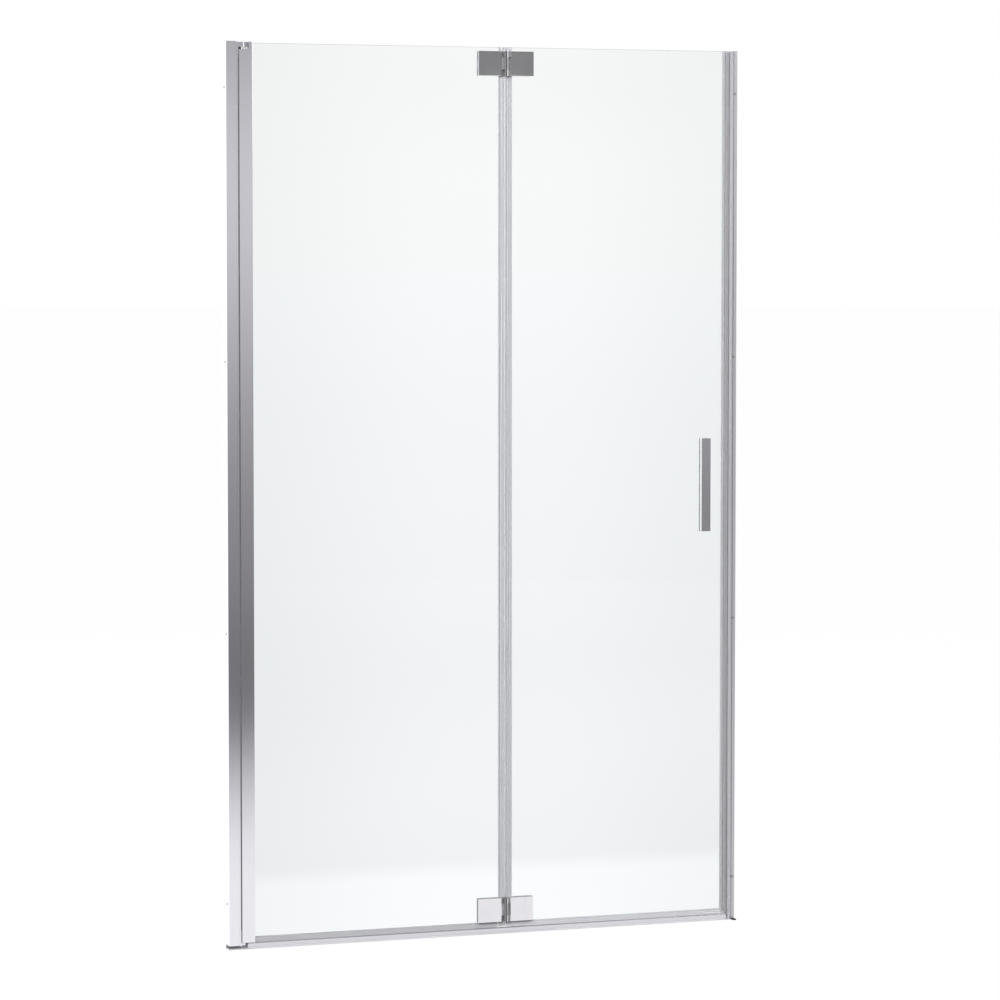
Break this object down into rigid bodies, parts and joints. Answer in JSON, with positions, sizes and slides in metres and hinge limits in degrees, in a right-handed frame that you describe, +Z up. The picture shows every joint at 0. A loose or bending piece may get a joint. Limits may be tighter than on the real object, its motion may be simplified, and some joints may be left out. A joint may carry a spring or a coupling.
{
  "type": "folding shower door",
  "caption": "Frameless folding shower door: glass panels on a wall pivot and fold hinges, with wall channels, bar handle, magnetic edge seal, drip seals and sill.",
  "frame": {"origin": "Middle of the opening's width, on the glass centre plane of the closed door, on the tray face under the sill", "axes": "+X from the hinge wall to the strike wall, +Y into the shower, +Z up"},
  "size_m": [1.2166, 0.0478, 2.008],
  "materials": {
    "bright_aluminium": "polished, bright anodised",
    "chrome": "polished",
    "clear_glass": "clear toughened, ground edges",
    "clear_seal": "translucent extruded vinyl",
    "black_rubber": "matte",
    "grey_plastic": "moulded",
    "white_nylon": "moulded",
    "magnet_strip": "matte",
    "steel": "satin"
  },
  "bodies": {
    "frame": {"wall_channel_left": "bright_aluminium", "wall_channel_right": "bright_aluminium", "hinge_post": "bright_aluminium", "post_clamp_screws": "steel", "top_cap_left": "grey_plastic", "top_cap_right": "grey_plastic", "top_pivot_bracket": "chrome", "bottom_pivot_bracket": "chrome", "top_pivot_pin": "steel", "bottom_pivot_pin": "steel", "bracket_screws": "steel", "hinge_gap_seal": "black_rubber", "foot_pad_left": "black_rubber", "foot_pad_right": "black_rubber", "sill": "bright_aluminium", "sill_end_seal": "black_rubber", "strike_post": "bright_aluminium", "strike_magnet": "magnet_strip", "strike_clips": "black_rubber", "top_arm_pad": "black_rubber"},
    "panel_a": {"pivot_stile": "bright_aluminium", "stile_top_block": "grey_plastic", "stile_bottom_block": "grey_plastic", "stile_block_screws": "steel", "top_pivot_bush": "white_nylon", "bottom_pivot_bush": "white_nylon", "glazing_gaskets": "grey_plastic", "glass_a": "clear_glass", "drip_seal_a": "clear_seal", "centre_seal_a": "clear_seal", "top_hinge_leaf_a": "chrome", "bottom_hinge_leaf_a": "chrome", "top_clamp_plate_a": "chrome", "bottom_clamp_plate_a": "chrome", "leaf_gaskets_a": "grey_plastic", "clamp_bolts_a": "steel", "bolt_sleeves_a": "white_nylon", "top_hinge_pin": "steel", "bottom_hinge_pin": "steel"},
    "panel_b": {"glass_b": "clear_glass", "drip_seal_b": "clear_seal", "centre_seal_b": "clear_seal", "top_hinge_leaf_b": "chrome", "bottom_hinge_leaf_b": "chrome", "top_clamp_plate_b": "chrome", "bottom_clamp_plate_b": "chrome", "leaf_gaskets_b": "grey_plastic", "clamp_bolts_b": "steel", "bolt_sleeves_b": "white_nylon", "strike_edge_seal": "clear_seal", "door_magnet": "magnet_strip", "handle_bar": "chrome", "handle_back_plate": "chrome", "handle_gaskets": "grey_plastic", "handle_bolts": "steel"}
  },
  "joints": [
    {"name": "wall_pivot", "type": "hinge", "parent": "frame", "child": "panel_a", "pos_m": [-0.56125, 0, 1], "axis": [0, 0, 1], "range_deg": [0, 90]},
    {"name": "fold_hinge", "type": "hinge", "parent": "panel_a", "child": "panel_b", "pos_m": [0.04725, -0.012, 1], "axis": [0, 0, -1], "range_deg": [0, 180]}
  ]
}
